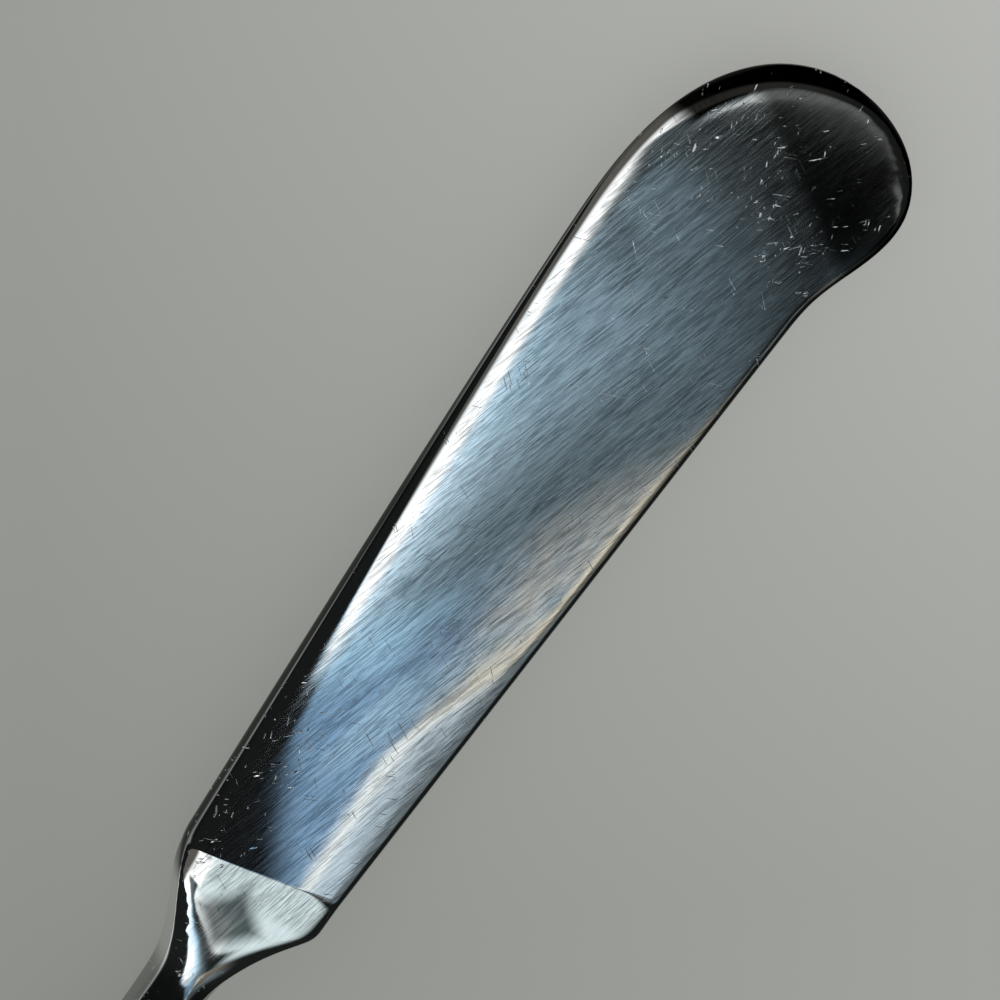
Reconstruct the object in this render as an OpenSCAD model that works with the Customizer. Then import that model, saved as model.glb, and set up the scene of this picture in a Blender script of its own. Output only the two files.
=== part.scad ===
// Butter knife: a forged stainless blade with neck, collar and tang, held in a hollow handle of
// two pressed half shells. X runs along the knife towards the tip, Y towards the spine, Z up.
// The origin is the centre of the flat that the handle rests on.

/* [Blade outline] */
// Length of the blade from its heel corners to the tip
blade_l = 72.2; // [64:0.1:84]
// Distance from the knife's axis to the cutting edge at the heel
heel_edge_y = 6.6; // [5:0.1:7.5]
// Distance from the knife's axis to the spine at the heel
heel_spine_y = 5.9; // [5:0.1:7.2]
// Distance from the axis to the spine where the tip's arc starts
spine_full_y = 8.65; // [7.4:0.05:10.5]
// Distance from the axis to the edge where the lobe starts
edge_full_y = 9.05; // [7.8:0.05:10.5]
// Distance from the axis to the crown of the lobe
lobe_y = 11.35; // [10.6:0.05:13]
// Distance from the axis to the outermost point of the tip, on the edge side
tip_y = 2.5; // [0:0.1:4]
// Length of the spine's arc into the tip
spine_arc_l = 17.2; // [12:0.1:22]
// Length of the lobe from its crown to the tip
lobe_arc_l = 6.9; // [5:0.1:9]
// Length over which the edge swells out to the lobe's crown
lobe_rise_l = 8.5; // [6:0.1:12]
// Rounding of the heel corner on the edge side
heel_edge_round = 0.7; // [0.3:0.1:2]
// Rounding of the heel corner on the spine side
heel_spine_round = 2.5; // [0.3:0.1:2.8]

/* [Blade thickness] */
// Thickness along the spine at the heel
spine_heel_t = 2.9; // [2.3:0.05:3.3]
// Thickness along the spine near the tip
spine_tip_t = 1.35; // [1:0.05:1.8]
// Length over which the spine thins from the heel
spine_taper_l = 60; // [40:1:70]
// Thickness just behind the cutting edge
edge_t = 0.62; // [0.4:0.02:0.9]
// Height of the narrow flat left on the spine
spine_flat_t = 0.25; // [0.15:0.05:0.6]
// Height of the narrow flat left on the edge
edge_flat_t = 0.24; // [0.15:0.01:0.35]
// Width of the rounding from the spine's flat to the face
spine_round_w = 1.9; // [1:0.1:2.6]
// Width of the rounding from the edge's flat to the face
edge_round_w = 0.45; // [0.3:0.05:0.8]

/* [Neck and collar] */
// Distance from the collar's rear face to the heel corners
neck_l = 24; // [20:0.5:30]
// Width of the neck
neck_w = 4.5; // [3.8:0.1:5.4]
// Thickness of the neck at its crest
neck_t = 4.5; // [4.1:0.1:4.8]
// Width of the rounding from the neck's flat sides to its crest
crest_round_w = 2.2; // [1.5:0.1:2.2]
// Height of the flat sides of the neck
neck_side_t = 1.6; // [1.2:0.1:2.8]
// Height of the flat sides at the shoulders
shoulder_side_t = 3.3; // [2.8:0.1:3.8]
// Height of the flat side at the heel corner of the spine
heel_side_t = 2.3; // [1.8:0.1:2.9]
// Distance from the heel corners back to where the sides have their full height
side_full_l = 4; // [2:0.5:6]
// Length over which the sides rise to their full height
side_rise_l = 5.5; // [4:0.5:8]
// Length over which the flat side fades into the rounded spine
side_fade_l = 3; // [2:0.5:5]
// Length of the flares from the neck to the heel corners
shoulder_l = 7.3; // [5:0.1:9]
// Length of the ramp that falls from the neck's crest to the blade's face
ramp_l = 8; // [5:0.1:12]
// Distance that the ramp runs out past the heel corner on the edge side
ramp_edge_l = 3.3; // [1:0.1:4]
// Distance that the ramp runs out past the heel corner on the spine side
ramp_spine_l = 1.6; // [1:0.1:3]
// Length over which the ramp's slant dies out along the blade
slant_l = 12; // [8:1:20]
// Length of the collar's straight land at the handle
collar_l = 1.6; // [1:0.1:3]
// Length over which the collar thins down to the neck
collar_fall_l = 8; // [4:0.1:9]

/* [Tang] */
// Length of the tang behind the collar
tang_l = 38; // [24:1:55]
// Width of the tang
tang_w = 3.6; // [2.4:0.1:4.4]
// Thickness of the tang
tang_t = 2.8; // [2:0.1:3.4]

/* [Handle] */
// Length of the handle shells
handle_l = 88; // [70:1:105]
// Width of the handle at the collar
handle_root_w = 9.4; // [8:0.1:12]
// Thickness of the handle at the collar
handle_root_t = 6.6; // [6:0.1:7.4]
// Width of the handle at its butt
handle_butt_w = 17.6; // [13:0.1:22]
// Thickness of the handle
handle_t = 7.8; // [7.5:0.1:10]
// Length over which the handle thickens behind the collar
handle_rise_l = 13; // [8:0.5:20]
// Length of the butt's round end, seen from above
butt_arc_l = 10; // [7:0.5:14]
// Length of the butt's round end, seen from the side
butt_nose_l = 5; // [3:0.5:6.5]
// Depth of the flat that the handle rests on
rest_cut = 0.25; // [0.15:0.01:0.4]
// Wall of the handle shells
shell_wall = 0.8; // [0.6:0.05:1.1]

/* [Joining] */
// Thickness of the braze between the half shells
seam_t = 0.12; // [0.06:0.02:0.2]
// Thickness of the solder between collar and shells
solder_t = 0.12; // [0.06:0.02:0.2]
// Clearance of the cement around the tang and inside the shells
cement_gap = 0.05; // [0.03:0.01:0.1]

/* [Hidden] */

// Exponents of the rounded sections and outlines
oval_power = 2.3;
tip_long_power = 2.6;
tip_wide_power = 2.1;
spine_bow_power = 1.25;
edge_shoulder_power = 1.8;
spine_shoulder_power = 1.7;
handle_flare_power = 1.25;
heel_bulge_power = 1.9;
tip_bulge_power = 1.5;
ramp_power = 1.5;
ramp_side_power = 2.3;
// Share of the width over which the ramp's crease rises out of the smooth edge side
crease_share = 0.55;
// Share of the width beside the spine over which the ramp turns into the taller flat side
ramp_side_share = 0.3;
// Most of the blade's thickness that its flat sides may take
side_share = 0.86;
// Overrun of a cut past the surface it opens
overrun = 1;
// Half the height that the collar's oval keeps at its sides
collar_side_z = 0.2;

// The knife's middle plane lies this high above the rest flat
mid_z = handle_t / 2 - rest_cut;
// Places along the knife, measured from the centre of the rest flat
handle_rear_x = -(handle_l - handle_rise_l - butt_nose_l) / 2 - butt_nose_l;
mouth_x = handle_rear_x + handle_l;
collar_x = mouth_x + solder_t;
heel_x = collar_x + neck_l;

// Rows across a section of the blade, as shares from the edge side to the spine side
row_shares = [0, 0.006, 0.02, 0.045, 0.1, 0.2, 0.33, 0.47, 0.6, 0.71, 0.8, 0.865, 0.91, 0.945,
    0.972, 0.99, 1];
// Stations along each stretch of the forging, as shares of that stretch
collar_shares = [0, 0.5, 1];
fall_shares = [0.12, 0.25, 0.4, 0.55, 0.7, 0.85, 1];
shoulder_shares = [0.07, 0.14, 0.22, 0.3, 0.38, 0.46, 0.54, 0.61, 0.68, 0.74, 0.785, 0.82, 0.85, 0.88,
    0.91, 0.94, 0.965, 0.985, 1];
heel_shares = [0.004, 0.01, 0.018, 0.03, 0.045, 0.065, 0.095, 0.135, 0.185, 0.245, 0.315, 0.395, 0.48,
    0.57, 0.66, 0.75, 0.83, 0.91];
tip_steps = 22;
tip_end_share = 0.0004;
// Stations along the handle and rows around half its section
handle_steps = 22;
butt_steps = 9;
butt_end_share = 0.002;
half_rows = 22;

function smooth(t) = let (s = max(0, min(1, t))) s * s * (3 - 2 * s);
function mix(a, b, t) = a + (b - a) * t;
function soft_min(a, b, k) = min(a, b) - pow(max(k - abs(a - b), 0), 2) / (4 * k);
// Quarter of a rounded end: 0 at the end, 1 where the rounding stops
function round_end(t, p, q) = t >= 1 ? 1 : pow(1 - pow(1 - max(t, 0), p), 1 / q);

// Outline of the blade, with x measured from the heel corners towards the tip
function spine_line(x) =
    let (full_x = blade_l - spine_arc_l)
    x <= 0 ? heel_spine_y
    : x < full_x
    ? mix(heel_spine_y, spine_full_y, 1 - pow(1 - x / full_x, spine_bow_power))
    : spine_full_y;
function spine_blade_y(x) =
    mix(-tip_y, spine_line(x), round_end((blade_l - x) / spine_arc_l, tip_long_power, tip_wide_power));
function edge_line(x) =
    mix(heel_edge_y, edge_full_y, max(0, x) / (blade_l - lobe_arc_l - lobe_rise_l));
function edge_blade_y(x) =
    let (crown_x = blade_l - lobe_arc_l, line = min(edge_line(x), lobe_y))
    x > crown_x
    ? mix(tip_y, lobe_y, round_end((blade_l - x) / lobe_arc_l, 2, 2))
    : mix(line, lobe_y, smooth((x - crown_x + lobe_rise_l) / lobe_rise_l));
// Distance from the axis to each side, all along the forging in front of the tang
function flare_y(x, heel_y, power) =
    mix(neck_w / 2, heel_y, pow(max(0, (x + shoulder_l) / shoulder_l), power));
function collar_y(x) =
    let (back = neck_l + x)
    mix(handle_root_w / 2, neck_w / 2, smooth((back - collar_l) / collar_fall_l));
function edge_y(x) =
    x < -shoulder_l ? collar_y(x)
    : soft_min(flare_y(x, heel_edge_y, edge_shoulder_power), edge_blade_y(x), heel_edge_round);
function spine_y(x) =
    x < -shoulder_l ? collar_y(x)
    : soft_min(flare_y(x, heel_spine_y, spine_shoulder_power), spine_blade_y(x), heel_spine_round);

// The blade's outline as points, against which the rounding of its rim is measured
rim_steps = 56;
rim_xs = [for (i = [0 : rim_steps]) blade_l * (1 - cos(180 * i / rim_steps)) / 2];
rim_points = concat(
    [for (x = rim_xs) [x, spine_y(x)]],
    [for (i = [rim_steps : -1 : 0]) [rim_xs[i], -edge_y(rim_xs[i])]]);
function segment_gap(p, a, b) =
    let (ab = b - a, t = max(0, min(1, ((p - a) * ab) / (ab * ab))))
    norm(p - a - ab * t);
function rim_gap(p) =
    min([for (i = [0 : len(rim_points) - 2])
        segment_gap(p, rim_points[i], rim_points[i + 1])]);

// Half the thickness of the blade's faces: a wedge from spine to edge with a bulge, which is
// thicker and fuller at the heel
function face_z(x, y) =
    let (
        across = (y + edge_line(x)) / (edge_line(x) + spine_line(x)),
        taper = smooth(x / spine_taper_l),
        bulge = mix(heel_bulge_power, tip_bulge_power, taper),
        spine_t = mix(spine_heel_t, spine_tip_t, taper))
    mix(edge_t, spine_t, 1 - pow(1 - max(0, min(1, across)), bulge)) / 2;
// The same with its rim rounded down to the flats, which fade out behind the heel corner
function blade_z(x, y, row) =
    let (
        round_w = mix(edge_round_w, spine_round_w, smooth(row)),
        face = face_z(x, y),
        spine_side_t = mix(heel_side_t, spine_flat_t, smooth(x / side_fade_l + 0.5)),
        flat_z = min(face * side_share, mix(edge_flat_t, spine_side_t, smooth(row)) / 2),
        gap = x <= 0 ? min(y + edge_y(x), spine_y(x) - y) : rim_gap([x, y]))
    mix(flat_z, face, round_end(max(0, gap) / round_w, 2, 2));
// Half the thickness of the neck and collar: flat sides under a crest, which is an oval at the
// collar and rounded off along its sides from the neck on
function crest_z(x, y, row) =
    let (
        back = neck_l + x,
        fall = smooth((back - collar_l) / collar_fall_l),
        rise = smooth((x + side_full_l + side_rise_l) / side_rise_l),
        crest = mix(handle_root_t, neck_t, fall) / 2,
        side = mix(collar_side_z, mix(neck_side_t, shoulder_side_t, rise) / 2, fall),
        oval = round_end(1 - abs(2 * row - 1), oval_power, oval_power),
        gap = min(y + edge_y(x), spine_y(x) - y),
        rounded = round_end(max(0, gap) / crest_round_w, 2, 2))
    mix(side, crest, mix(oval, rounded, fall));
// The ramp starts smoothly at the crest and ends in a crease across the blade, which dies out
// towards the edge side
function ramp_share(station, row) =
    let (
        t = max(0, min(1, (station + ramp_l) / ramp_l)),
        power = mix(ramp_power, ramp_side_power, smooth((row - 1) / ramp_side_share + 1)))
    mix(smooth(t), pow(t, power), smooth(row / crease_share));
// Rings near the heel slant as the crease does, further forward on the edge side
function ring_x(station, row) =
    station + mix(ramp_edge_l, ramp_spine_l, row)
        * smooth(min((station + ramp_l) / ramp_l, (slant_l - station) / slant_l));
function forging_z(station, x, y, row) =
    let (share = ramp_share(station, row))
    share <= 0 ? crest_z(x, y, row)
    : share >= 1 ? blade_z(x, y, row)
    : mix(crest_z(x, y, row), blade_z(x, y, row), share);

// One closed ring round the forging at a station: over the top from edge to spine, back underneath
function forging_ring(station) =
    let (rows = [for (row = row_shares)
        let (x = ring_x(station, row), y = mix(-edge_y(x), spine_y(x), row))
        [heel_x + x, y, forging_z(station, x, y, row)]])
    concat(
        [for (p = rows) [p[0], p[1], mid_z + p[2]]],
        [for (i = [len(rows) - 1 : -1 : 0]) [rows[i][0], rows[i][1], mid_z - rows[i][2]]]);
// Triangles of a solid skinned over rings, all with the same number of points
function skin_faces(rings, size) =
    concat(
        [for (i = [0 : rings - 2], j = [0 : size - 1])
            let (a = i * size + j, b = i * size + (j + 1) % size) [a, b, a + size]],
        [for (i = [0 : rings - 2], j = [0 : size - 1])
            let (a = i * size + j, b = i * size + (j + 1) % size) [b, b + size, a + size]]);
module skin(rings) {
    size = len(rings[0]);
    last = (len(rings) - 1) * size;
    polyhedron(
        points = [for (ring = rings, p = ring) p],
        faces = concat(
            skin_faces(len(rings), size),
            [[for (j = [size - 1 : -1 : 0]) j]],
            [[for (j = [0 : size - 1]) last + j]]),
        convexity = 6);
}

// Outline of the handle: half width and half thickness at a distance back from its mouth, drawn
// in by inset for its inner surfaces
function handle_half_w(back, inset) =
    let (
        flare = pow(min(1, back / (handle_l - butt_arc_l)), handle_flare_power),
        end = round_end((handle_l - inset - back) / butt_arc_l, 2, 2))
    (mix(handle_root_w, handle_butt_w, flare) / 2 - inset) * end;
function handle_half_t(back, inset) =
    let (
        rise = smooth(back / handle_rise_l),
        end = round_end((handle_l - inset - back) / butt_nose_l, 2, 2))
    (mix(handle_root_t, handle_t, rise) / 2 - inset) * end;
// Distances back from the mouth, closer together round the butt
function handle_stations(inset) =
    let (length = handle_l - inset, straight = length - butt_arc_l)
    concat(
        [for (i = [0 : handle_steps]) straight * i / handle_steps],
        [for (i = [1 : butt_steps])
            length - butt_arc_l * mix(butt_end_share, 1, pow(1 - i / butt_steps, 2))]);
// Half an oval section, from its spine side over the top to its edge side
function half_oval(back, inset) =
    [for (i = [0 : half_rows])
        let (
            angle = 180 * i / half_rows,
            y = sign(cos(angle)) * pow(abs(cos(angle)), 2 / oval_power),
            z = pow(abs(sin(angle)), 2 / oval_power))
        [mouth_x - back, handle_half_w(back, inset) * y,
            mid_z + mix(seam_t / 2, handle_half_t(back, inset), z)]];

// Upper half shell: its outer skin and its inner skin, closed by flat rims
module half_shell() {
    outer_backs = handle_stations(0);
    inner_backs = handle_stations(shell_wall);
    rows = half_rows + 1;
    size = 2 * rows;
    count = len(outer_backs);
    rings = [for (i = [0 : count - 1])
        let (outer = half_oval(outer_backs[i], 0), inner = half_oval(inner_backs[i], shell_wall))
        concat(outer, [for (j = [half_rows : -1 : 0]) inner[j]])];
    last = (count - 1) * size;
    polyhedron(
        points = [for (ring = rings, p = ring) p],
        faces = concat(
            skin_faces(count, size),
            [for (j = [0 : half_rows - 1]) [j + 1, j, size - 1 - j]],
            [for (j = [0 : half_rows - 1]) [j + 1, size - 1 - j, size - 2 - j]],
            [[for (j = [0 : half_rows]) last + j]],
            [[for (j = [rows : size - 1]) last + j]],
            [[last + half_rows, last + rows, last + size - 1], [last + half_rows, last + size - 1, last]]),
        convexity = 6);
}

module blade() {
    stations = concat(
        [for (s = collar_shares) -neck_l + collar_l * s],
        [for (s = fall_shares) -neck_l + collar_l + collar_fall_l * s],
        [for (s = shoulder_shares) mix(-neck_l + collar_l + collar_fall_l, 0, s)],
        [for (s = heel_shares) (blade_l - spine_arc_l) * s],
        [for (i = [0 : tip_steps])
            blade_l - spine_arc_l * mix(tip_end_share, 1, pow(1 - i / tip_steps, 2))]);
    color([0.72, 0.75, 0.77])
    union() {
        skin([for (station = stations) forging_ring(station)]);
        translate([collar_x - tang_l, -tang_w / 2, mid_z - tang_t / 2])
        cube([tang_l + collar_l / 2, tang_w, tang_t]);
    }
}

module handle_front_shell() {
    color([0.8, 0.81, 0.82])
    half_shell();
}

module handle_back_shell() {
    color([0.76, 0.77, 0.78])
    difference() {
        translate([0, 0, mid_z]) mirror([0, 0, 1]) translate([0, 0, -mid_z]) half_shell();
        translate([handle_rear_x - overrun, -handle_butt_w / 2 - overrun, -handle_t])
        cube([handle_l + 2 * overrun, handle_butt_w + 2 * overrun, handle_t]);
    }
}

// Outline of the handle at its middle plane, drawn in by inset
function plan_points(inset) =
    let (backs = handle_stations(inset))
    concat(
        [for (b = backs) [mouth_x - b, handle_half_w(b, inset)]],
        [for (i = [len(backs) - 1 : -1 : 0]) [mouth_x - backs[i], -handle_half_w(backs[i], inset)]]);

module seam_braze() {
    color([0.68, 0.66, 0.6])
    translate([0, 0, mid_z - seam_t / 2])
    linear_extrude(height = seam_t)
    difference() {
        polygon(plan_points(0));
        polygon(concat(
            [[mouth_x + overrun, handle_half_w(0, shell_wall)]],
            plan_points(shell_wall),
            [[mouth_x + overrun, -handle_half_w(0, shell_wall)]]));
    }
}

// Oval outline of the handle's mouth, drawn in by inset
module mouth_oval(inset) {
    points = [for (p = half_oval(0, inset)) [p[2] - mid_z, p[1]]];
    polygon(concat(points, [for (i = [half_rows : -1 : 0]) [-points[i][0], points[i][1]]]));
}

module bolster_solder() {
    color([0.66, 0.66, 0.64])
    translate([mouth_x, 0, mid_z])
    rotate([0, 90, 0])
    linear_extrude(height = solder_t)
    difference() {
        mouth_oval(0);
        mouth_oval(shell_wall);
    }
}

module tang_cement() {
    inset = shell_wall + cement_gap;
    backs = concat([-solder_t], handle_stations(inset));
    function full_oval(back) =
        let (half = half_oval(max(0, back), inset), x = mouth_x - back)
        concat(
            [for (p = half) [x, p[1], p[2]]],
            [for (i = [half_rows : -1 : 0]) [x, half[i][1], 2 * mid_z - half[i][2]]]);
    slot_w = tang_w + 2 * cement_gap;
    slot_t = tang_t + 2 * cement_gap;
    color([0.78, 0.74, 0.66])
    difference() {
        skin([for (i = [len(backs) - 1 : -1 : 0]) full_oval(backs[i])]);
        translate([collar_x - tang_l - cement_gap, -slot_w / 2, mid_z - slot_t / 2])
        cube([tang_l + cement_gap + overrun, slot_w, slot_t]);
    }
}

blade();
handle_front_shell();
handle_back_shell();
seam_braze();
bolster_solder();
tang_cement();
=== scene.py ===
"""Butter knife: looks. Lengths are in metres, in the knife's own frame: X towards the tip, Y towards
the spine, Z up out of the blade's upper face."""
import math

import bmesh
import bpy
from mathutils import Matrix, Vector


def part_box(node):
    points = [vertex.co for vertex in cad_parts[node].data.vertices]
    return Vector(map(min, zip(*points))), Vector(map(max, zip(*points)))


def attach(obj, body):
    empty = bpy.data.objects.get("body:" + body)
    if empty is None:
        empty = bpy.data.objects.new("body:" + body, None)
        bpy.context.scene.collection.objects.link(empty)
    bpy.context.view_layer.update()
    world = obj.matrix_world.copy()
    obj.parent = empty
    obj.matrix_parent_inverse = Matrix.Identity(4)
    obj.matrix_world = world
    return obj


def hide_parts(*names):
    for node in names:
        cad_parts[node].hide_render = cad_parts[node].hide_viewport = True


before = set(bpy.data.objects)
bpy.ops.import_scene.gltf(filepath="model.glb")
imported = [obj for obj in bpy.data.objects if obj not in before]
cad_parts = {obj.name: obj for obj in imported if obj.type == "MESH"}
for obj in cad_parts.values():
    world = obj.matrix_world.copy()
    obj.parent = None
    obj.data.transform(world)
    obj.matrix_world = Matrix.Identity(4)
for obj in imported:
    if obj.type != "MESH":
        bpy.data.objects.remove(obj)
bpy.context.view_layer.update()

MM = 0.001


def rgb(red, green, blue):
    return (red, green, blue, 1.0)


blade_low, blade_high = (Vector(corner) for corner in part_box("blade"))
TIP_X = blade_high.x
BLADE_L = 72.2 * MM
HEEL_X = TIP_X - BLADE_L
MID_Z = (blade_low.z + blade_high.z) / 2

# The photograph's camera: how far it leans from straight above the blade, and what it takes in
LEAN_TO_SPINE = math.radians(19.2)
LEAN_TO_TIP = math.radians(11.1)
BLADE_SLOPE = math.radians(54.64)
CAMERA_GAP = 423 * MM
VIEW_SPAN = 70 * MM
NEAREST_SEEN = 10 * MM
# Width of the camera's sensor in millimetres, the unit of Blender's lenses
SENSOR = 36.0
# The aim point, measured from the blade's tip along the axis, and its place in the frame
AIM_FROM_TIP = 36.2 * MM
AIM_RIGHT = 2.17 * MM
AIM_UP = 0.59 * MM
AXIS_SHIFT = 0.4 * MM


def view_axes():
    """Direction to the camera, and the frame's right and up."""
    towards = Vector((math.tan(LEAN_TO_TIP), math.tan(LEAN_TO_SPINE), 1)).normalized()
    along = Vector((1, 0, 0))
    along = (along - towards * along.dot(towards)).normalized()
    across = towards.cross(along)
    right = along * math.cos(BLADE_SLOPE) - across * math.sin(BLADE_SLOPE)
    up = along * math.sin(BLADE_SLOPE) + across * math.cos(BLADE_SLOPE)
    return towards, right, up


def make_camera():
    """The camera at the photograph's viewing angle."""
    towards, right, up = view_axes()
    aim = Vector((TIP_X - AIM_FROM_TIP, -AXIS_SHIFT, MID_Z)) - right * AIM_RIGHT - up * AIM_UP
    data = bpy.data.cameras.new("camera")
    data.sensor_width = SENSOR
    data.lens = SENSOR * CAMERA_GAP / VIEW_SPAN
    data.clip_start = NEAREST_SEEN
    camera = bpy.data.objects.new("camera", data)
    bpy.context.collection.objects.link(camera)
    camera.matrix_world = Matrix((right, up, towards)).transposed().to_4x4()
    camera.location = aim + towards * CAMERA_GAP
    bpy.context.scene.camera = camera


class Graph:
    """A node tree, written as calls: each returns the socket that the next one reads."""

    def __init__(self, tree):
        self.tree = tree
        self.tree.nodes.clear()

    def add(self, kind, inputs=None, out=0, **settings):
        node = self.tree.nodes.new(kind)
        for name, value in settings.items():
            setattr(node, name, value)
        for key, value in (inputs or {}).items():
            self.put(node.inputs[key], value)
        return node.outputs[out] if node.outputs else node

    def put(self, socket, value):
        if isinstance(value, bpy.types.NodeSocket):
            self.tree.links.new(value, socket)
        else:
            socket.default_value = value

    def math(self, operation, first, second=0.0, third=0.0):
        return self.add("ShaderNodeMath", {0: first, 1: second, 2: third}, operation=operation)

    def plus(self, first, second):
        return self.math("ADD", first, second)

    def minus(self, first, second):
        return self.math("SUBTRACT", first, second)

    def absolute(self, value):
        return self.math("ABSOLUTE", value)

    def times(self, first, *others):
        for other in others:
            first = self.math("MULTIPLY", first, other)
        return first

    def most(self, first, *others):
        for other in others:
            first = self.math("MAXIMUM", first, other)
        return first

    def ramp(self, value, low, high, at_low=0.0, at_high=1.0):
        """Smooth step of a value, from one result at low to another at high."""
        return self.add(
            "ShaderNodeMapRange", {0: value, 1: low, 2: high, 3: at_low, 4: at_high},
            interpolation_type="SMOOTHSTEP")

    def ramp_line(self, value, low, high):
        """Straight rise of a value from 0 at low to 1 at high."""
        return self.add("ShaderNodeMapRange", {0: value, 1: low, 2: high}, clamp=True)

    def band(self, value, low, low_full, high_full, high):
        """1 between the two full values, falling smoothly to 0 at the outer two."""
        return self.times(self.ramp(value, low, low_full), self.ramp(value, high, high_full))

    def split(self, vector):
        node = self.tree.nodes.new("ShaderNodeSeparateXYZ")
        self.put(node.inputs[0], vector)
        return node.outputs

    def spot(self):
        """The place on the piece, as X, Y and Z."""
        return self.split(self.add("ShaderNodeTexCoord", out="Object"))

    def mix(self, share, base, over):
        """The base tone, with a share of the other over it."""
        return self.add(
            "ShaderNodeMix", {0: share, 6: base, 7: over}, out=2, data_type="RGBA", clamp_factor=True)

    def noise(self, sizes, turn=0.0, shift=0.0, detail=2.0, rough=0.5):
        """Noise on the piece whose marks have these sizes along X, Y and Z, turned about Z."""
        place = self.add("ShaderNodeTexCoord", out="Object")
        turned = self.add("ShaderNodeMapping", {"Vector": place, "Rotation": (0, 0, turn)})
        scale = [1 / size for size in sizes]
        where = self.add("ShaderNodeMapping", {"Vector": turned, "Scale": scale, "Location": [shift] * 3})
        return self.add(
            "ShaderNodeTexNoise", {"Vector": where, "Scale": 1.0, "Detail": detail, "Roughness": rough})

    def bump(self, height, depth, strength=1.0):
        return self.add("ShaderNodeBump", {"Strength": strength, "Distance": depth, "Height": height})

    def finish(self, tone, rough, bump, metallic=1.0):
        """The surface itself: its tone, its roughness and its bumps."""
        shader = self.add("ShaderNodeBsdfPrincipled", {
            "Base Color": tone, "Metallic": metallic, "Roughness": rough, "Normal": bump})
        self.add("ShaderNodeOutputMaterial", {"Surface": shader})


def new_material(name):
    material = bpy.data.materials.new(name)
    material.use_nodes = True
    return material, Graph(material.node_tree)


# In the finishes two values are where a zone starts and where it is full, and four are where it
# starts, is full, is still full and ends. Zones along the blade are measured from the heel, and a
# noise, which runs from 0 to 1, is cut at such pairs too. This is the middle of a noise
MIDDLE = (0.3, 0.7)
# Grinding lines and the face's slow waves: length, width and depth of a mark
MARK_DEPTH = 0.5 * MM
FINE_LINE = (1.7 * MM, 0.075 * MM, MARK_DEPTH)
COARSE_LINE = (3.0 * MM, 0.14 * MM, MARK_DEPTH)
BROAD_LINE = (9 * MM, 0.9 * MM, MARK_DEPTH)
WAVE = (9 * MM, 4 * MM, 4 * MM)
GRAIN_TURN = math.radians(17)
GRAIN_DETAIL = 3.0
GRAIN_ROUGH = 0.6
# Marks from use: their size, the size of the patches they come in, and each layer's turn in degrees
# and shift of its noise
SCRATCH = (2.6 * MM, 0.09 * MM, MARK_DEPTH)
SCRATCH_PATCH = (3 * MM, 3 * MM, MARK_DEPTH)
SCRATCH_LAYERS = ((70, 3.1), (-48, 7.7), (118, 12.4))
SCRATCH_CUT = (0.76, 0.80)
SCRATCH_PATCH_CUT = (0.62, 0.68)
NICK = (0.9 * MM, 0.22 * MM, MARK_DEPTH)
NICK_PATCH = (2.0 * MM, 2.0 * MM, MARK_DEPTH)
NICK_LAYERS = ((50, 1.3), (-20, 6.1))
NICK_CUT = (0.68, 0.73)
NICK_PATCH_CUT = (0.53, 0.60)
# Where the nicks are
HEEL_WORN = (-1 * MM, 2 * MM, 9 * MM, 18 * MM)
SPINE_SIDE = (1.0 * MM, 3.0 * MM)
TIP_WORN = (57 * MM, 65 * MM)
# Along the neck this zone also holds a painted dark reflection
NECK_WEAR_AND_REFLECTION = (-5.5 * MM, -8 * MM)
# Heights and depths of the bumps, in millimetres
WAVE_HEIGHT = 0.004
FINE_HEIGHT = 0.0002
COARSE_HEIGHT = 0.0004
SCRATCH_DEPTH = 0.006
NICK_DEPTH = 0.03
# Where the rim's polish shows, what it takes from the grinding lines and from the roughness, and how
# rough the face and the marks are
POLISH_CUT = (0.1, 0.8)
POLISH_SMOOTHS = 0.95
POLISH_SHINES = 0.4
FACE_ROUGH_CUT = (0.35, 0.7)
FACE_ROUGH = (0.03, 0.055)
MARK_ROUGH = 0.3


def scattered_marks(g, size, patch, layers, mark_cut, patch_cut, detail):
    """Short marks in a few directions, that come in patches."""
    marks = 0.0
    for turn, shift in layers:
        lines = g.noise(size, math.radians(turn), shift, detail=detail)
        patches = g.noise(patch, shift=shift, detail=1.0)
        marks = g.most(g.times(g.ramp(lines, *mark_cut), g.ramp(patches, *patch_cut)), marks)
    return marks


def knocked_places(g, along, across):
    """Where the knife knocks against others: the heel's spine side, the tip and the neck."""
    heel = g.times(g.band(along, *HEEL_WORN), g.ramp(across, *SPINE_SIDE))
    return g.most(heel, g.ramp(along, *TIP_WORN), g.ramp(along, *NECK_WEAR_AND_REFLECTION))


def blade_bump(g, fine, coarse, polish, scratch, nick):
    """The face's waves, its grinding lines, which polish takes away, and the marks cut into it."""
    waves = g.times(g.noise(WAVE), WAVE_HEIGHT)
    lines = g.math("MULTIPLY_ADD", fine, FINE_HEIGHT, g.times(coarse, COARSE_HEIGHT))
    lines = g.times(lines, g.math("MULTIPLY_ADD", polish, -POLISH_SMOOTHS, 1.0))
    marks = g.math("MULTIPLY_ADD", scratch, -SCRATCH_DEPTH, g.times(nick, -NICK_DEPTH))
    height = g.plus(g.plus(waves, lines), marks)
    return g.bump(height, MM)


def blade_roughness(g, fine, polish, scratch, nick):
    """Smooth steel, duller in the grinding lines and in the marks from use."""
    ground = g.ramp(fine, *FACE_ROUGH_CUT, *FACE_ROUGH)
    ground = g.times(ground, g.math("MULTIPLY_ADD", polish, -POLISH_SHINES, 1.0))
    return g.most(ground, g.times(g.most(scratch, nick), MARK_ROUGH))


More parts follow.
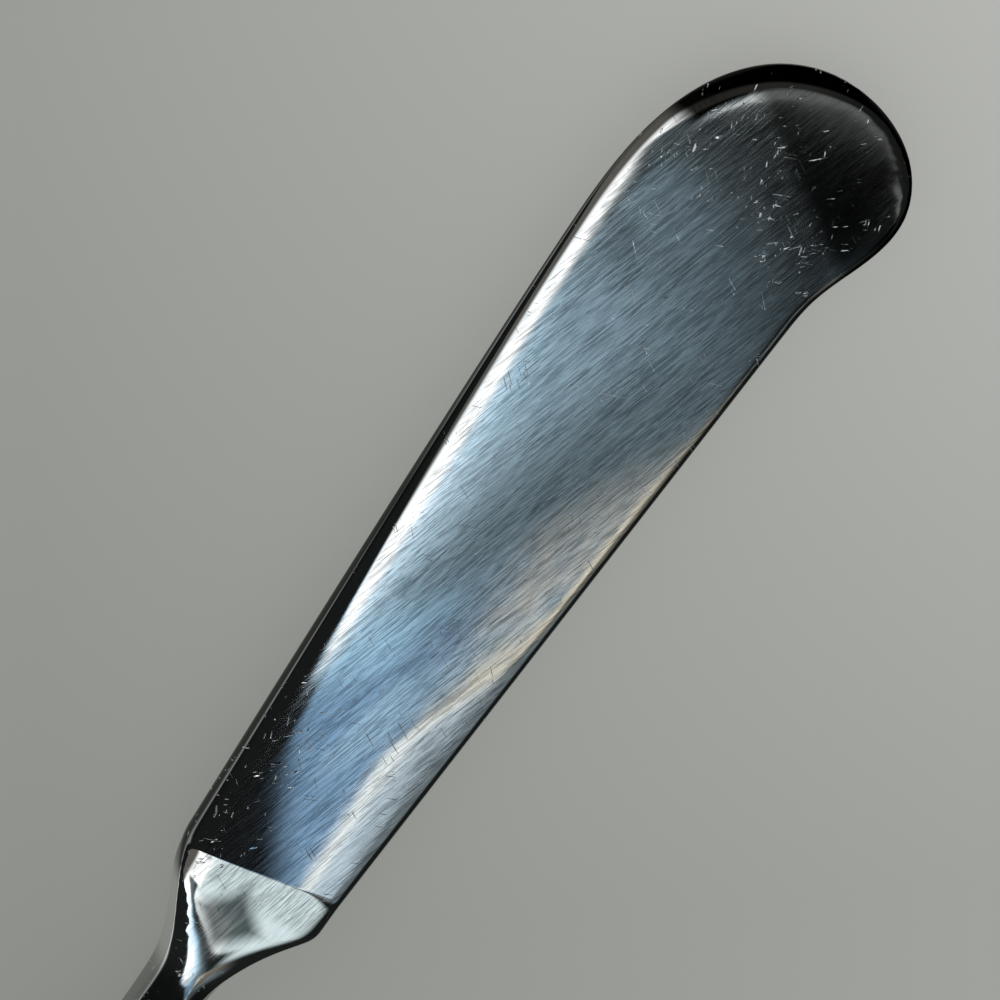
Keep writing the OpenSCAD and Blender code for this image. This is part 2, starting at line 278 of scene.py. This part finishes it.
# Tones of the ground face: between and on the coarse lines, the darkest and lightest fine lines, the
# broad lighter bands, the polished rim, the scratches and the nicks
BETWEEN_LINES = rgb(0.43, 0.445, 0.45)
ON_LINES = rgb(0.80, 0.815, 0.82)
DARK_LINE = rgb(0.26, 0.28, 0.29)
LIGHT_LINE = rgb(0.95, 0.96, 0.96)
BROAD_TONE = rgb(0.78, 0.79, 0.79)
POLISHED_TONE = rgb(0.66, 0.67, 0.67)
SCRATCH_TONE = rgb(0.30, 0.30, 0.30)
NICK_TONE = rgb(0.90, 0.91, 0.91)
# Where each noise is cut, and how much shows of what covers the tone only in part
COARSE_CUT = (0.40, 0.60)
DARK_LINE_CUT = (0.46, 0.36)
LIGHT_LINE_CUT = (0.57, 0.65)
BROAD_CUT = (0.45, 0.65)
BROAD_SHARE = 0.35
SCRATCH_SHARE = 0.5
NICK_SHARE = 0.9


def brushed_tone(g, fine, coarse, polish, scratch):
    """Grey steel with darker and lighter grinding lines, which end where it is polished."""
    broad = g.noise(BROAD_LINE, GRAIN_TURN)
    tone = g.mix(g.ramp(coarse, *COARSE_CUT), BETWEEN_LINES, ON_LINES)
    tone = g.mix(g.ramp(fine, *DARK_LINE_CUT), tone, DARK_LINE)
    tone = g.mix(g.ramp(fine, *LIGHT_LINE_CUT), tone, LIGHT_LINE)
    tone = g.mix(g.times(g.ramp(broad, *BROAD_CUT), BROAD_SHARE), tone, BROAD_TONE)
    tone = g.mix(polish, tone, POLISHED_TONE)
    return g.mix(g.times(scratch, SCRATCH_SHARE), tone, SCRATCH_TONE)


# The ramp from the neck up to the face, and a painted dark reflection in it: how far its middle lies
# before the heel and from the axis, how a distance across counts against one along, where the painted
# reflection fades, and how much of it the coarse lines leave
RAMP_ZONE = (-7.5 * MM, -5.5 * MM, -0.4 * MM, 0.6 * MM)
RAMP_SHARE = 0.7
RAMP_TONE = rgb(0.90, 0.91, 0.91)
RAMP_REFLECTION_BEFORE_HEEL = 1.4 * MM
RAMP_REFLECTION_FROM_AXIS = 0.1 * MM
RAMP_REFLECTION_ACROSS = 0.9
RAMP_REFLECTION_FADE = (3.5 * MM, 1.4 * MM)
RAMP_REFLECTION_LINES = (0.98, 0.86)
RAMP_DARK_REFLECTION_TONE = rgb(0.06, 0.07, 0.07)


def ramp_tone(g, tone, coarse, along, across):
    """The ramp is ground brighter than the face, with a painted dark reflection in its middle."""
    tone = g.mix(g.times(g.band(along, *RAMP_ZONE), RAMP_SHARE), tone, RAMP_TONE)
    from_middle = g.absolute(g.plus(along, RAMP_REFLECTION_BEFORE_HEEL))
    from_axis = g.times(g.absolute(g.minus(across, RAMP_REFLECTION_FROM_AXIS)), RAMP_REFLECTION_ACROSS)
    # Painted dark reflection in the middle of the ramp
    dark_reflection_patch = g.ramp(g.plus(from_middle, from_axis), *RAMP_REFLECTION_FADE)
    return g.mix(g.times(dark_reflection_patch, g.ramp(coarse, *MIDDLE, *RAMP_REFLECTION_LINES)), tone, RAMP_DARK_REFLECTION_TONE)


# Painted dark reflections: on the rim, on the neck, and on the tip, where its front slants, soft at first
# and sharp near the end
PAINTED_DARK_REFLECTION_TONE = rgb(0.04, 0.04, 0.037)
RIM_FROM_HEEL = (-1.5 * MM, 0.5 * MM)
RIM_SHARE = 0.95
NECK_SHARE = 0.5
TIP_REFLECTION_SLANT = 0.6
TIP_REFLECTION_SOFT = (53.5 * MM, 65.3 * MM)
TIP_REFLECTION_SOFT_SHARE = 0.5
TIP_REFLECTION_SHARP = (64.0 * MM, 67.4 * MM)
TIP_REFLECTION_SHARP_SHARE = 0.94
# The tip's painted black border reflection starts where the surface first leans away from the face, told
# by its normal's Z
LEAN_CUT = (0.99975, 0.9993)
TIP_BORDER_REFLECTION_ZONE = (63.0 * MM, 64.8 * MM)
TIP_BORDER_REFLECTION_TONE = rgb(0.01, 0.01, 0.009)


def painted_dark_reflections(g, tone, along, across):
    """Painted dark reflections on the rim, the neck and the tip, and a painted black reflection at the
    tip's border.
    """
    rim = g.add("ShaderNodeAttribute", out="Fac", attribute_name="rim")
    rim = g.times(rim, g.ramp(along, *RIM_FROM_HEEL), RIM_SHARE)
    front = g.minus(along, g.times(across, TIP_REFLECTION_SLANT))
    soft = g.times(g.ramp_line(front, *TIP_REFLECTION_SOFT), TIP_REFLECTION_SOFT_SHARE)
    sharp = g.times(g.ramp(front, *TIP_REFLECTION_SHARP), TIP_REFLECTION_SHARP_SHARE)
    neck = g.times(g.ramp(along, *NECK_WEAR_AND_REFLECTION), NECK_SHARE)
    # Painted dark reflection on the rim, the neck and the tip
    tone = g.mix(g.most(rim, soft, sharp, neck), tone, PAINTED_DARK_REFLECTION_TONE)
    upright = g.absolute(g.split(g.add("ShaderNodeTexCoord", out="Normal"))[2])
    # Painted black reflection along the tip's border, where the surface leans
    border = g.times(g.ramp(upright, *LEAN_CUT), g.ramp(along, *TIP_BORDER_REFLECTION_ZONE))
    return g.mix(border, tone, TIP_BORDER_REFLECTION_TONE)


def blade_steel():
    """Brushed stainless steel: fine grain at a slant, polished round the rim, with marks from use."""
    material, g = new_material("brushed_blade_steel")
    spot = g.spot()
    along = g.minus(spot[0], HEEL_X)
    across = spot[1]
    polish = g.ramp(g.add("ShaderNodeAttribute", out="Fac", attribute_name="polish"), *POLISH_CUT)
    fine = g.noise(FINE_LINE, GRAIN_TURN, detail=GRAIN_DETAIL, rough=GRAIN_ROUGH)
    coarse = g.noise(COARSE_LINE, GRAIN_TURN, detail=GRAIN_DETAIL, rough=GRAIN_ROUGH)
    scratch = scattered_marks(
        g, SCRATCH, SCRATCH_PATCH, SCRATCH_LAYERS, SCRATCH_CUT, SCRATCH_PATCH_CUT, detail=0.0)
    nick = scattered_marks(g, NICK, NICK_PATCH, NICK_LAYERS, NICK_CUT, NICK_PATCH_CUT, detail=1.0)
    nick = g.times(nick, knocked_places(g, along, across))

    tone = brushed_tone(g, fine, coarse, polish, scratch)
    tone = ramp_tone(g, tone, coarse, along, across)
    tone = painted_dark_reflections(g, tone, along, across)
    tone = g.mix(g.times(nick, NICK_SHARE), tone, NICK_TONE)
    rough = blade_roughness(g, fine, polish, scratch, nick)
    g.finish(tone, rough, blade_bump(g, fine, coarse, polish, scratch, nick))
    return material


HANDLE_MARK = (2.5 * MM, 0.15 * MM, 0.4 * MM)
HANDLE_MARK_TURN = 0.1
HANDLE_MARK_DEPTH = 0.003 * MM
HANDLE_MARK_STRENGTH = 0.12
HANDLE_CLOUD = (9 * MM, 6 * MM, 6 * MM)
HANDLE_ROUGH = (0.07, 0.13)
HANDLE_DARK = rgb(0.60, 0.61, 0.62)
HANDLE_LIGHT = rgb(0.68, 0.69, 0.70)


def handle_steel():
    """Polished stainless steel with faint marks from use."""
    material, g = new_material("polished_handle_steel")
    marks = g.noise(HANDLE_MARK, HANDLE_MARK_TURN, detail=3.0)
    cloud = g.noise(HANDLE_CLOUD, detail=3.0)
    bump = g.bump(marks, HANDLE_MARK_DEPTH, HANDLE_MARK_STRENGTH)
    tone = g.mix(g.ramp(marks, *MIDDLE), HANDLE_DARK, HANDLE_LIGHT)
    g.finish(tone, g.ramp(cloud, *MIDDLE, *HANDLE_ROUGH), bump)
    return material


PORE = (0.3 * MM, 0.3 * MM, 0.3 * MM)
PORE_DEPTH = 0.004 * MM
PORE_STRENGTH = 0.2
BRAZE_ROUGH = (0.2, 0.3)
BRAZE_DARK = rgb(0.46, 0.45, 0.42)
BRAZE_LIGHT = rgb(0.56, 0.55, 0.51)


def filler_metal():
    """Braze and solder, ground flush: a touch duller and warmer than the steel."""
    material, g = new_material("ground_braze")
    pores = g.noise(PORE, detail=4.0)
    tone = g.mix(pores, BRAZE_DARK, BRAZE_LIGHT)
    g.finish(tone, g.ramp(pores, *MIDDLE, *BRAZE_ROUGH), g.bump(pores, PORE_DEPTH, PORE_STRENGTH))
    return material


GRIT = (0.4 * MM, 0.4 * MM, 0.4 * MM)
GRIT_DEPTH = 0.05 * MM
GRIT_STRENGTH = 0.6
CEMENT_ROUGH = 0.9
CEMENT_DARK = rgb(0.58, 0.54, 0.46)
CEMENT_LIGHT = rgb(0.76, 0.72, 0.64)


def cement():
    """Mineral cement: pale, dull and gritty."""
    material, g = new_material("tang_cement")
    grit = g.noise(GRIT, detail=6.0)
    tone = g.mix(grit, CEMENT_DARK, CEMENT_LIGHT)
    g.finish(tone, CEMENT_ROUGH, g.bump(grit, GRIT_DEPTH, GRIT_STRENGTH), metallic=0.0)
    return material


# Vertices closer than this are one vertex
WELD = 0.0001 * MM
# Two triangles become one quad up to this bend and this much skew
QUAD_BEND = math.radians(40)
QUAD_SKEW = math.radians(70)
# Edges that bend more than this stay sharp
BLADE_SHARP = math.radians(78)
SHELL_SHARP = math.radians(15)
# The crease between the ramp and the face: its least bend, how level it is, how far it lies from the
# heel at most, how many times further it runs across than along, and how sharp it is
CREASE_BEND = math.radians(4)
CREASE_FLAT = 0.94
CREASE_REACH = 4 * MM
CREASE_ACROSS = 2
CREASE_SHARPNESS = 0.8
# A rim is polished and, leaning still further over, takes a painted dark reflection: the normal's Z at
# which that starts, and its fall until that is full
POLISH_LEAN = (0.985, 0.03)
RIM_LEAN = (0.78, 0.15)


def on_ramp_crease(edge):
    """True for the edges across the blade where the ramp from the neck meets the face."""
    start, end = (vert.co for vert in edge.verts)
    run = end - start
    flat = min(abs(face.normal.z) for face in edge.link_faces) > CREASE_FLAT
    near_heel = -CREASE_REACH < start.x - HEEL_X < CREASE_REACH
    crosswise = abs(run.y) > CREASE_ACROSS * abs(run.x)
    return near_heel and flat and crosswise and edge.calc_face_angle() > CREASE_BEND


def leaning_over(vert, upright, fall):
    """0 where the surface lies level, rising to 1 as its normal leans over."""
    return min(1.0, max(0.0, (upright - abs(vert.normal.z)) / fall))


def crease_edges(bm, sharp_from):
    """Keep the sharp edges and the ramp's crease through the subdivision."""
    crease = bm.edges.layers.float.new("crease_edge")
    for edge in bm.edges:
        if len(edge.link_faces) != 2:
            continue
        if edge.calc_face_angle() > sharp_from:
            edge[crease] = 1.0
        elif on_ramp_crease(edge):
            edge[crease] = CREASE_SHARPNESS


def mark_rims(bm):
    """Write on each vertex how polished its rim is and how much painted dark reflection it takes."""
    polish = bm.verts.layers.float.new("polish")
    rim = bm.verts.layers.float.new("rim")
    bm.normal_update()
    for vert in bm.verts:
        vert[polish] = leaning_over(vert, *POLISH_LEAN)
        vert[rim] = leaning_over(vert, *RIM_LEAN)


def smooth_copy(node, name, material, levels, sharp_from):
    """The node's surface as one smooth mesh: its triangles joined to quads, then subdivided."""
    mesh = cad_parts[node].data.copy()
    mesh.name = name
    bm = bmesh.new()
    bm.from_mesh(mesh)
    bmesh.ops.remove_doubles(bm, verts=bm.verts, dist=WELD)
    bmesh.ops.join_triangles(
        bm, faces=bm.faces, angle_face_threshold=QUAD_BEND, angle_shape_threshold=QUAD_SKEW)
    crease_edges(bm, sharp_from)
    mark_rims(bm)
    for face in bm.faces:
        face.smooth = True
    bm.to_mesh(mesh)
    bm.free()
    mesh.materials.clear()
    mesh.materials.append(material)
    piece = bpy.data.objects.new(name, mesh)
    bpy.context.collection.objects.link(piece)
    subdivision = piece.modifiers.new("smooth", "SUBSURF")
    subdivision.levels = levels
    subdivision.render_levels = levels
    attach(piece, "root")
    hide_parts(node)
    return piece


def coat(node, material):
    """Give a CAD node that keeps its own mesh its material."""
    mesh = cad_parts[node].data
    mesh.materials.clear()
    mesh.materials.append(material)


def dress_knife():
    """A finished surface for each of the six pieces."""
    blade = smooth_copy("blade", "forged_blade", blade_steel(), levels=2, sharp_from=BLADE_SHARP)
    polished = handle_steel()
    for node, name in (("handle_front_shell", "front_shell"), ("handle_back_shell", "back_shell")):
        shell = smooth_copy(node, name, polished, levels=1, sharp_from=SHELL_SHARP)
    metal = filler_metal()
    coat("seam_braze", metal)
    coat("bolster_solder", metal)
    coat("tang_cement", cement())


# The floor's width, half the stretch over which its painted light makes it lighter, and its tones at the
# picture's left and right, low and high
FLOOR_SIZE = 3.0
FLOOR_FADE = 34 * MM
FLOOR_LOW = (rgb(0.283, 0.296, 0.270), rgb(0.360, 0.374, 0.346))
FLOOR_HIGH = (rgb(0.335, 0.345, 0.323), rgb(0.475, 0.482, 0.455))
# How much of the floor's own tone the camera and the metal see, whatever light falls on it
FLOOR_OWN_TONE = 0.7


def floor_tone(g):
    """Pale grey, with painted light making it a little lighter to the right and the top of the picture.
    """
    spot = g.spot()
    cos, sin = math.cos(BLADE_SLOPE), math.sin(BLADE_SLOPE)
    to_right = g.minus(g.times(spot[0], cos), g.times(spot[1], sin))
    to_top = g.plus(g.times(spot[0], sin), g.times(spot[1], cos))
    middle_right = (TIP_X - AIM_FROM_TIP) * cos
    middle_top = (TIP_X - AIM_FROM_TIP) * sin
    right = g.ramp_line(to_right, middle_right - FLOOR_FADE, middle_right + FLOOR_FADE)
    top = g.ramp_line(to_top, middle_top - FLOOR_FADE, middle_top + FLOOR_FADE)
    return g.mix(top, g.mix(right, *FLOOR_LOW), g.mix(right, *FLOOR_HIGH))


def make_floor():
    """The pale floor that the knife lies on."""
    bpy.ops.mesh.primitive_plane_add(size=FLOOR_SIZE, location=(0, 0, 0))
    floor = bpy.context.object
    floor.name = "floor"
    material, g = new_material("pale_floor")
    tone = floor_tone(g)
    matt = g.add("ShaderNodeBsdfDiffuse", {"Color": tone})
    glow = g.add("ShaderNodeEmission", {"Color": tone, "Strength": 1.0})
    path = g.tree.nodes.new("ShaderNodeLightPath").outputs
    seen = g.most(path["Is Camera Ray"], path["Is Glossy Ray"], path["Is Transmission Ray"])
    surface = g.add("ShaderNodeMixShader", {0: g.times(seen, FLOOR_OWN_TONE), 1: matt, 2: glow})
    g.add("ShaderNodeOutputMaterial", {"Surface": surface})
    floor.data.materials.append(material)


# The studio that the metal reflects. A direction in it is told by two slopes, a towards the tip and b
# towards the spine, each for a rise of 1. As in the finishes, two values are where a light or a card
# starts and where it is full, four are where it starts, is full, is still full and ends
LEAST_RISE = 0.02
WHITE_ROOM = rgb(0.9, 0.9, 0.9)
ROOM_FADE = (0.8, 4.0)
ROOM_ABOVE = rgb(0.30, 0.32, 0.33)
ROOM_LOW = rgb(0.62, 0.63, 0.62)
# Dark cards: one overhead, and three that reach down from it towards the spine, the edge and the tip.
# These spread as they reach down, and end above the floor
CARD = rgb(0.012, 0.013, 0.013)
OVERHEAD_CARD = (1.0, 0.7)
CARD_SPREAD = 0.45
CARD_EDGE = (0.45, 0.15)
CARD_FOOT = (14.0, 9.0)


def room_light(g, a, b):
    """A pale room, brighter low down, with and without its dark cards."""
    far = g.math("SQRT", g.plus(g.times(a, a), g.times(b, b)))
    room = g.mix(g.ramp(far, *ROOM_FADE), ROOM_ABOVE, ROOM_LOW)
    from_sides = g.minus(g.absolute(a), g.times(g.absolute(b), CARD_SPREAD))
    from_tip = g.minus(g.absolute(b), g.times(a, CARD_SPREAD))
    hanging = g.ramp(g.math("MINIMUM", from_sides, from_tip), *CARD_EDGE)
    cards = g.most(g.ramp(far, *OVERHEAD_CARD), g.times(hanging, g.ramp(far, *CARD_FOOT)))
    return room, g.mix(cards, room, CARD)


# Daylight on the face: blue towards the heel, grey in the middle and dark towards the tip
DAY_HEEL = rgb(0.25, 0.42, 0.62)
DAY_MIDDLE = rgb(0.225, 0.31, 0.355)
DAY_TIP = rgb(0.120, 0.150, 0.158)
DAY_TO_MIDDLE = (-0.225, -0.175)
DAY_TO_TIP = (-0.150, -0.130)
# Brighter blue beside the spine
BY_SPINE = rgb(0.62, 0.90, 1.10)
BY_SPINE_A = (-0.215, -0.202, -0.15, -0.125)
BY_SPINE_B = (-0.455, -0.36)
# Two soft lights in the blue: a glint by the heel's dark patch, and a glow beside the streak
GLINT = rgb(0.50, 0.82, 1.07)
GLINT_A = (-0.215, -0.208, -0.202, -0.186)
GLINT_B = (-0.51, -0.46, -0.41, -0.37)
GLOW = rgb(0.50, 0.75, 0.95)
GLOW_A = (-0.252, -0.240, -0.225, -0.210)
GLOW_B = (-0.61, -0.56, -0.52, -0.49)
SOFT_LIGHT_SHARE = 0.7
# Dull past the spine, and where the daylight ends
DAY_PAST_SPINE = rgb(0.14, 0.135, 0.12)
PAST_SPINE_B = (0.10, 0.32)
DAY_FROM_B = (-0.90, -0.80)
DAY_END_SLANT = 0.5
DAY_END = (0.095, 0.032)


def daylight(g, sky, a, b):
    """The blue card, which is what most of the face shows."""
    day = g.mix(g.ramp(a, *DAY_TO_MIDDLE), DAY_HEEL, DAY_MIDDLE)
    day = g.mix(g.ramp(a, *DAY_TO_TIP), day, DAY_TIP)
    day = g.mix(g.times(g.ramp(b, *BY_SPINE_B), g.band(a, *BY_SPINE_A)), day, BY_SPINE)
    glint = g.times(g.band(a, *GLINT_A), g.band(b, *GLINT_B))
    day = g.mix(g.times(glint, SOFT_LIGHT_SHARE), day, GLINT)
    glow = g.times(g.band(a, *GLOW_A), g.band(b, *GLOW_B))
    day = g.mix(g.times(glow, SOFT_LIGHT_SHARE), day, GLOW)
    day = g.mix(g.ramp(b, *PAST_SPINE_B), day, DAY_PAST_SPINE)
    end = g.ramp_line(g.minus(a, g.times(b, DAY_END_SLANT)), *DAY_END)
    return g.mix(g.times(g.ramp(b, *DAY_FROM_B), end), sky, day)


# The streak slants across the daylight, white at the heel and cream further on. Its inner border
# dips and rises a little, and its outer border widens it at the heel and towards the tip
STREAK_SLANT = 1.5
DIP_A = (-0.252, -0.243, -0.226, -0.175)
DIP = 0.018
RISE_A = (-0.218, -0.211, -0.208, -0.202)
RISE = 0.004
WIDER_AT_HEEL_A = (-0.26, -0.34)
WIDER_AT_HEEL = 0.036
WIDER_AT_TIP_A = (-0.245, -0.165)
WIDER_AT_TIP = 0.048
CREAM_FROM_A = (-0.252, -0.238)
# Its body, the bright crest on it, the dull margin outside and the dark beyond: tones at the heel and
# further on, where each lies across the streak, and where it ends towards the tip
STREAK = (rgb(0.66, 0.80, 0.90), rgb(0.50, 0.47, 0.40))
STREAK_ACROSS = (-0.198, -0.214)
STREAK_END = (-0.170, -0.190)
CREST = (rgb(1.30, 1.33, 1.28), rgb(1.00, 0.90, 0.70))
CREST_ACROSS = (-0.230, -0.222, -0.216, -0.206)
CREST_END = (-0.180, -0.200)
MARGIN = (rgb(0.14, 0.17, 0.18), rgb(0.15, 0.14, 0.11))
MARGIN_ACROSS = (-0.229, -0.245)
MARGIN_END = (-0.165, -0.195)
MARGIN_SHARE = 0.93
BEYOND_ACROSS = (-0.32, -0.46)
BEYOND_END = (-0.15, -0.19)


def slanting_streak(g, sky, a, b):
    """The streak's body, then its crest, its dull margin and the dark beyond it."""
    slant = g.minus(b, g.times(a, STREAK_SLANT))
    inner = g.plus(slant, g.times(g.band(a, *DIP_A), DIP))
    inner = g.minus(inner, g.times(g.band(a, *RISE_A), RISE))
    at_heel = g.times(g.ramp_line(a, *WIDER_AT_HEEL_A), WIDER_AT_HEEL)
    at_tip = g.times(g.ramp_line(a, *WIDER_AT_TIP_A), WIDER_AT_TIP)
    outer = g.plus(slant, g.plus(at_heel, at_tip))
    cream = g.ramp(a, *CREAM_FROM_A)
    body = g.times(g.ramp(inner, *STREAK_ACROSS), g.ramp(a, *STREAK_END))
    sky = g.mix(body, sky, g.mix(cream, *STREAK))
    crest = g.times(g.band(inner, *CREST_ACROSS), g.ramp(a, *CREST_END))
    sky = g.mix(crest, sky, g.mix(cream, *CREST))
    margin = g.times(g.ramp(outer, *MARGIN_ACROSS), g.ramp(a, *MARGIN_END), MARGIN_SHARE)
    sky = g.mix(margin, sky, g.mix(cream, *MARGIN))
    return g.mix(g.times(g.ramp(slant, *BEYOND_ACROSS), g.ramp(a, *BEYOND_END)), sky, CARD)


# A dark card over the heel's spine side
HEEL_CARD_SLANT = 2.7
HEEL_CARD_ACROSS = (0.165, 0.225)
HEEL_CARD_A = (-0.205, -0.214)
# The light that the ramp shows, in a low and a near part, and the white strip at its border
RAMP_LIGHT = rgb(0.78, 0.90, 0.92)
RAMP_LOW_A = (-0.19, -0.12)
RAMP_LOW_B = (-0.90, -0.72, -0.64, -0.52)
RAMP_NEAR_A = (-0.113, -0.100)
RAMP_NEAR_B = (-0.90, -0.76, -0.36, -0.30)
RAMP_LIGHT_END = (0.14, 0.10)
STRIP = rgb(1.20, 1.25, 1.24)
STRIP_A = (-0.111, -0.106, -0.075, -0.055)
STRIP_B = (-0.50, -0.46, -0.36, -0.33)


def heel_light(g, sky, a, b):
    """Dark over the heel's spine side, and light on the ramp with a white strip."""
    above = g.ramp(g.minus(b, g.times(a, HEEL_CARD_SLANT)), *HEEL_CARD_ACROSS)
    sky = g.mix(g.times(above, g.ramp(a, *HEEL_CARD_A)), sky, CARD)
    low = g.times(g.band(b, *RAMP_LOW_B), g.ramp(a, *RAMP_LOW_A))
    near = g.times(g.band(b, *RAMP_NEAR_B), g.ramp(a, *RAMP_NEAR_A))
    sky = g.mix(g.times(g.most(low, near), g.ramp(a, *RAMP_LIGHT_END)), sky, RAMP_LIGHT)
    return g.mix(g.times(g.band(b, *STRIP_B), g.band(a, *STRIP_A)), sky, STRIP)


# The white window: its two ends along the knife, its lower border, how far that draws back towards
# the spine further on, the part that reaches down again after that, and its upper border
WINDOW = rgb(1.65, 1.65, 1.63)
WINDOW_START = (-0.208, -0.198)
WINDOW_END = (0.10, 0.03)
LOWER_B = (-0.44, -0.20)
DRAWN_BACK_A = (-0.16, -0.07)
DRAWN_BACK = 0.4
REACHING_DOWN_A = (-0.055, -0.035)
REACHING_DOWN_B = (-0.41, -0.34)
UPPER_B = (0.36, 0.08)


def white_window(g, sky, a, b):
    """The window that lights the spine and the ramp's border."""
    from_border = g.minus(b, g.times(g.ramp_line(a, *DRAWN_BACK_A), DRAWN_BACK))
    reaching_down = g.times(g.ramp(b, *REACHING_DOWN_B), g.ramp(a, *REACHING_DOWN_A))
    lower = g.most(g.ramp(from_border, *LOWER_B), reaching_down)
    window = g.times(g.ramp(a, *WINDOW_START), lower, g.ramp(b, *UPPER_B), g.ramp(a, *WINDOW_END))
    return g.mix(window, sky, WINDOW)


# The room beyond the cards, which the face shows from the tip's side
OPEN_SIDE_A = (-1.0, -2.5)
OPEN_SIDE_B = (-0.9, -0.6)


def make_world():
    """Soft studio light. Metal sees a pale room with dark cards round the blade's own reflection."""
    world = bpy.data.worlds.new("studio")
    bpy.context.scene.world = world
    world.use_nodes = True
    g = Graph(world.node_tree)
    way = g.split(g.add("ShaderNodeTexCoord", out="Generated"))
    height = g.most(way[2], LEAST_RISE)
    a = g.math("DIVIDE", way[0], height)
    b = g.math("DIVIDE", way[1], height)
    room, sky = room_light(g, a, b)
    for light in (daylight, slanting_streak, heel_light, white_window):
        sky = light(g, sky, a, b)
    sky = g.mix(g.times(g.ramp(a, *OPEN_SIDE_A), g.ramp(b, *OPEN_SIDE_B)), sky, room)
    bounce = g.add("ShaderNodeBackground", {"Color": WHITE_ROOM, "Strength": 1.0})
    mirror = g.add("ShaderNodeBackground", {"Color": sky, "Strength": 1.0})
    path = g.tree.nodes.new("ShaderNodeLightPath").outputs
    picture = g.add("ShaderNodeMixShader", {0: path["Is Glossy Ray"], 1: bounce, 2: mirror})
    g.add("ShaderNodeOutputWorld", {"Surface": picture})


scene = bpy.context.scene
scene.view_settings.view_transform = "Standard"
make_camera()
make_world()
make_floor()
dress_knife()
